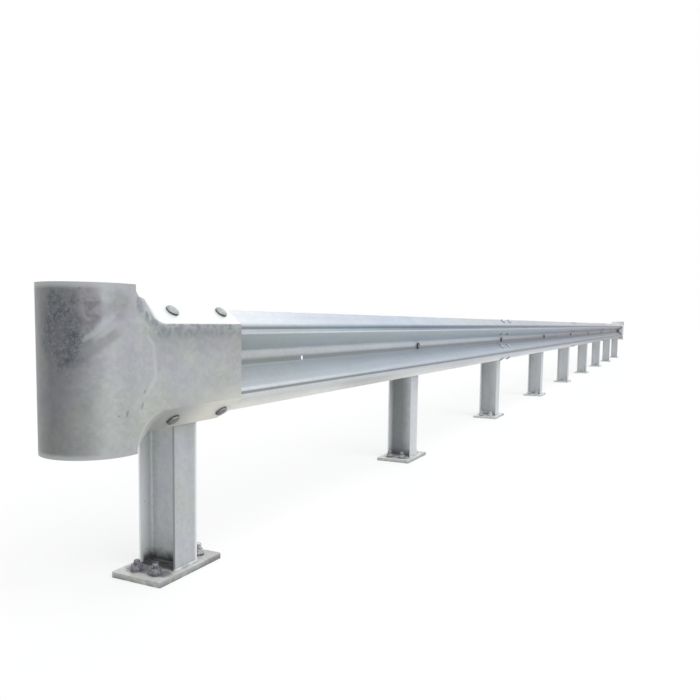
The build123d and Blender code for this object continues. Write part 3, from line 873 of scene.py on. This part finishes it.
def washer(radius, bore):
    """Flat washer from z 0 up, its outer edges broken."""
    inner, high = radius - WASHER_EDGE, WASHER_THICKNESS - WASHER_EDGE
    return lathe([(bore, 0), (inner, 0), (radius, WASHER_EDGE), (radius, high),
                  (inner, WASHER_THICKNESS), (bore, WASHER_THICKNESS)], WASHER_SIDES)


def shank(radius, bottom, top):
    """Plain rod with a chamfered top end."""
    return lathe([(0, bottom), (radius, bottom), (radius, top - ROD_CHAMFER),
                  (radius - ROD_CHAMFER, top), (0, top)], ROD_SIDES)


def add_bolt(shape, place, grip, head_radius=HEAD_RADIUS):
    """Button-head bolt: its head sits on z 0 and its nut is on the far side of the grip."""
    crown, rim = button_head(head_radius, HEAD_HEIGHT)
    shape.add(place, crown, CROWN)
    shape.add(place, rim, RIM)
    back = place @ lift(-grip) @ spin(math.pi, "X")
    turned = back @ spin(chance.uniform(0, math.tau), "Z")
    tail = WASHER_THICKNESS + NUT_HEIGHT + BOLT_TAIL + chance.uniform(-BOLT_TAIL_SPREAD, BOLT_TAIL_SPREAD)
    shape.add(turned, washer(WASHER_RADIUS, BOLT_RADIUS), CROWN)
    shape.add(turned @ lift(WASHER_THICKNESS), nut(NUT_ACROSS_FLATS, NUT_HEIGHT, BOLT_RADIUS), RIM)
    shape.add(turned, shank(BOLT_CORE_RADIUS, -grip, tail), RIM)
    shape.add(turned, thread(BOLT_RADIUS, BOLT_PITCH, NUT_HEIGHT, tail - THREAD_RUN_OUT), RIM)


def add_anchor(shape, place):
    """Anchor stud in a plate hole, with washer, nut and thread, a little out of true."""
    lean = spin(chance.uniform(-ANCHOR_LEAN, ANCHOR_LEAN), "X")
    turned = place @ lean @ spin(chance.uniform(0, math.tau), "Z")
    top = ANCHOR_TOP + chance.uniform(*ANCHOR_TOP_SPREAD)
    washer_place = turned @ lift(PLATE_THICKNESS + 0.1 * MM)
    anchor_nut = nut(ANCHOR_NUT_ACROSS_FLATS, ANCHOR_NUT_HEIGHT, ANCHOR_RADIUS)
    shape.add(washer_place, washer(ANCHOR_WASHER_RADIUS, ANCHOR_RADIUS), RIM)
    shape.add(washer_place @ lift(WASHER_THICKNESS), anchor_nut, CROWN)
    shape.add(turned, shank(ANCHOR_CORE_RADIUS, 1 * MM, top), CROWN)
    nut_top = PLATE_THICKNESS + WASHER_THICKNESS + ANCHOR_NUT_HEIGHT
    ridge = thread(ANCHOR_RADIUS, ANCHOR_THREAD_PITCH, nut_top - THREAD_RUN_OUT, top - THREAD_RUN_OUT)
    shape.add(turned, ridge, CROWN)


def section_outline():
    """Corners of the post's I-section, in order round it."""
    inner, web = HALF_DEPTH - FLANGE_THICKNESS, WEB_THICKNESS / 2
    quarter = [(HALF_WIDTH, -HALF_DEPTH), (HALF_WIDTH, -inner), (web, -inner)]
    right = quarter + [(x, -y) for x, y in reversed(quarter)]
    return right + [(-x, -y) for x, y in right]


def weld_bead(seed):
    """Rippled bead all round the post's foot, as a tube along the section's outline."""
    corners = section_outline()
    stops = []
    for start, end in zip(corners, corners[1:] + corners[:1]):
        run = Vector(end) - Vector(start)
        count = max(1, round(run.length / WELD_STEP))
        stops += [Vector(start) + run * (step / count) for step in range(count)]
    points = []
    for index, stop in enumerate(stops):
        ahead = (stops[(index + 1) % len(stops)] - stops[index - 1]).normalized()
        out = Vector((ahead.y, -ahead.x, 0))
        wander = noise.noise(Vector((stop.x * WELD_NOISE_SCALE, stop.y * WELD_NOISE_SCALE, seed)))
        radius = WELD_RADIUS * (1 + WELD_RIPPLE * (index % 2) + WELD_WANDER * wander)
        for side in range(WELD_SIDES):
            turn = math.tau * side / WELD_SIDES
            reach = out * radius * math.cos(turn)
            rise = radius * math.sin(turn)
            points.append((stop.x + reach.x, stop.y + reach.y, PLATE_THICKNESS + rise))
    faces = []
    for index in range(len(stops)):
        ring = index * WELD_SIDES
        next_ring = (index + 1) % len(stops) * WELD_SIDES
        for side in range(WELD_SIDES):
            beside = (side + 1) % WELD_SIDES
            faces.append([ring + side, next_ring + side, next_ring + beside, ring + beside])
    return points, faces


# ---- put together ----


def dress_cad_nodes():
    """Gives each CAD node the finish of its kind."""
    finishes = {"terminal": terminal_zinc(), "beam": beam_zinc(), "post": post_zinc(),
                "base_plate": plate_zinc()}
    for name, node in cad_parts.items():
        kind = next(kind for kind in finishes if name.startswith(kind))
        if not node.material_slots:
            node.data.materials.append(finishes[kind])
        for material_slot in node.material_slots:
            material_slot.material = finishes[kind]


def place_fixings():
    """Bolts the terminals, beams, posts and plates together, and welds the posts' feet."""
    crown = fixing_zinc("bolt_crown", (0.37, 0.39, 0.385), (0.3, 0.32, 0.32))
    # the rims take a darker copy of the crowns' zinc: painted shade on the heads' sides, also on nuts and
    # shanks
    rim = fixing_zinc("bolt_rim", (0.22, 0.22, 0.21), 0.1)
    first, second, third, last = row_x(0), row_x(1), row_x(2), row_x(POST_COUNT - 1)
    stud_tones = [(first - 90 * MM, (0.31, 0.305, 0.34)), (first + 90 * MM, (0.7, 0.72, 0.71)),
                  (second - 200 * MM, (0.42, 0.44, 0.44)), (second + 200 * MM, (0.42, 0.44, 0.44)),
                  (third, (0.75, 0.76, 0.77)), (last, (0.75, 0.76, 0.77))]
    stud = fixing_zinc("anchor_stud", stud_tones, (0.45, 0.44, 0.48), metallic=0.4, shade_and_dirt=0.5)
    under = fixing_zinc("anchor_washer", (0.3, 0.29, 0.32), (0.08, 0.08, 0.09))
    # lap bolts high on the rail are paler and bluer: painted light, as on the beams' tops
    lap_crown = fixing_zinc("lap_crown", (0.48, 0.5, 0.53), (0.42, 0.44, 0.47), shade_and_dirt=0.9,
                            lit_colour_high=(0.5, 0.53, 0.58))
    lap_rim = fixing_zinc("lap_rim", (0.5, 0.52, 0.56), (0.42, 0.44, 0.48), shade_and_dirt=0.85,
                          lit_colour_high=(0.58, 0.61, 0.66))
    valley_bolt = fixing_zinc("valley_bolt", 0.15, 0.06)
    bead = weld_zinc()

    fasten_terminals([crown, rim])
    fasten_beams([lap_crown, lap_rim])
    for index in range(POST_COUNT):
        fasten_post(index, [rim, valley_bolt], [stud, under], [bead])


def fasten_terminals(materials):
    """Two bolts through each flange of each terminal's sleeve."""
    depth = OUTER_SPLICE_DEPTH + SLEEVE_GAP * math.cos(OUTER_SLOPE)
    height = OUTER_SPLICE_HEIGHT + SLEEVE_GAP * math.sin(OUTER_SLOPE)
    grip = TERMINAL_SHEET / 2 + SLEEVE_GAP + BEAM_SHEET / 2
    far_end = beam_frame(BEAM_COUNT - 1) @ Matrix.Translation((BEAM_RUN, 0, 0)) @ spin(math.pi, "Y")
    for name, place in (("terminal_bolts_near", beam_frame(0)), ("terminal_bolts_far", far_end)):
        shape = Shape()
        for x in both_ways(SPLICE_PITCH):
            for side in (-1, 1):
                face = on_face(place, x, depth, side * height, side * OUTER_SLOPE)
                add_bolt(shape, face @ lift(TERMINAL_SHEET / 2), grip)
        shape.build(name, materials)


def fasten_beams(materials):
    """Eight bolts through each lap of two beams."""
    rows = [(INNER_SPLICE_DEPTH, INNER_SPLICE_HEIGHT, -INNER_SLOPE),
            (OUTER_SPLICE_DEPTH, OUTER_SPLICE_HEIGHT, OUTER_SLOPE)]
    grip = NEST_SHIFT * math.cos(OUTER_SLOPE) + BEAM_SHEET
    for lap in range(1, BEAM_COUNT):
        shape = Shape()
        for x in both_ways(SPLICE_PITCH):
            for depth, height, slope in rows:
                for side in (-1, 1):
                    face = on_face(beam_frame(lap), x, depth + NEST_SHIFT / 2, side * height, side * slope)
                    add_bolt(shape, face @ lift(grip / 2), grip)
        shape.build(f"lap_bolts_{lap}", materials)


def fasten_post(index, bolt_materials, anchor_materials, weld_materials):
    """The bolt, anchors and weld of one post."""
    centre = Matrix.Translation((row_x(index), post_shift(index), 0))
    # the bolt goes through one valley, or both of a lap, and the post's flange
    lapped = index % BAYS_PER_BEAM == 0 and 0 < index < POST_COUNT - 1
    stack = BEAM_SHEET + SEAT_CLEARANCE + (NEST_SHIFT if lapped else 0)
    shape = Shape()
    face = on_face(centre, POST_BOLT_OFFSET, HALF_DEPTH + stack, RAIL_HEIGHT, 0)
    add_bolt(shape, face, stack + FLANGE_THICKNESS, POST_HEAD_RADIUS)
    shape.build(f"post_bolt_{index + 1}", bolt_materials)
    shape = Shape()
    for x in both_ways(ANCHOR_PITCH[0]):
        for y in both_ways(ANCHOR_PITCH[1]):
            add_anchor(shape, centre @ Matrix.Translation((x, y, 0)))
    shape.build(f"anchors_{index + 1}", anchor_materials)
    shape = Shape()
    shape.add(centre, weld_bead(index * WELD_SEED_STEP))
    shape.build(f"weld_{index + 1}", weld_materials, sharp_degrees=180)


def shows_background(tree):
    """1 for rays that show the background: from the camera, or off metal or through glass."""
    rays = add_node(tree, "LightPath").outputs
    shown = rays["Is Camera Ray"]
    for name in ("Is Glossy Ray", "Is Transmission Ray"):
        larger = add_node(tree, "Math", {0: shown, 1: rays[name]}, operation="MAXIMUM")
        shown = larger.outputs[0]
    return shown


def set_background(tree, output_kind, lighting, shown):
    """One shader that lights the object, and another that shows behind it."""
    choose = add_node(tree, "MixShader", {
        "Fac": shows_background(tree), 1: lighting.outputs[0], 2: shown.outputs[0]})
    add_node(tree, output_kind, {"Surface": choose.outputs[0]})


def make_floor():
    """Pale floor that shows white and keeps a soft shadow of the object."""
    mesh = bpy.data.meshes.new("floor")
    corners = [(-1, -1), (1, -1), (1, 1), (-1, 1)]
    mesh.from_pydata([(x * FLOOR_HALF, y * FLOOR_HALF, -FLOOR_DROP) for x, y in corners], [],
                     [(0, 1, 2, 3)])
    material = bpy.data.materials.new("floor_paper")
    tree = fresh_tree(material)
    paper = add_node(tree, "BsdfDiffuse", {"Color": rgba(FLOOR_PAPER)})
    glow = add_node(tree, "Emission")
    pale = add_node(tree, "MixShader", {
        "Fac": FLOOR_GLOW, 1: paper.outputs[0], 2: glow.outputs[0]})
    dull = add_node(tree, "BsdfDiffuse", {"Color": rgba(FLOOR_UNSEEN)})
    set_background(tree, "OutputMaterial", dull, pale)
    mesh.materials.append(material)
    floor = new_object("floor", mesh)


def light_world():
    """Even soft light all round; what the camera and the metal see of it is plain white."""
    world = bpy.data.worlds.new("studio")
    bpy.context.scene.world = world
    tree = fresh_tree(world)
    soft = add_node(tree, "Background", {"Color": rgba(SKY_COLOUR), "Strength": SKY_STRENGTH})
    white = add_node(tree, "Background", {"Color": rgba(1.0)})
    set_background(tree, "OutputWorld", soft, white)


def add_lamp(name, towards_lamp, strength, softness_degrees):
    """A wide, distant soft light that shines alike along the whole rail."""
    data = bpy.data.lights.new(name, "SUN")
    data.energy = strength
    data.angle = math.radians(softness_degrees)
    lamp = new_object(name, data)
    lamp.rotation_mode = "QUATERNION"
    lamp.rotation_quaternion = Vector(towards_lamp).to_track_quat("Z", "Y")


def place_camera():
    """Eye height by the near terminal, looking along the rail and slightly down."""
    data = bpy.data.cameras.new("camera")
    data.sensor_width = CAMERA_SENSOR
    data.lens = CAMERA_LENS
    data.shift_y = CAMERA_SHIFT
    data.clip_start, data.clip_end = CAMERA_CLIP
    camera = new_object("camera", data)
    level = spin(CAMERA_YAW - math.pi / 2, "Z") @ spin(math.pi / 2, "X")
    camera.matrix_world = (Matrix.Translation(CAMERA_PLACE) @ level
                           @ spin(CAMERA_PITCH, "X") @ spin(CAMERA_ROLL, "Z"))
    bpy.context.scene.camera = camera


place_camera()
light_world()
for lamp in LAMPS:
    add_lamp(*lamp)
make_floor()
dress_cad_nodes()
place_fixings()
bpy.context.scene.view_settings.view_transform = "Standard"
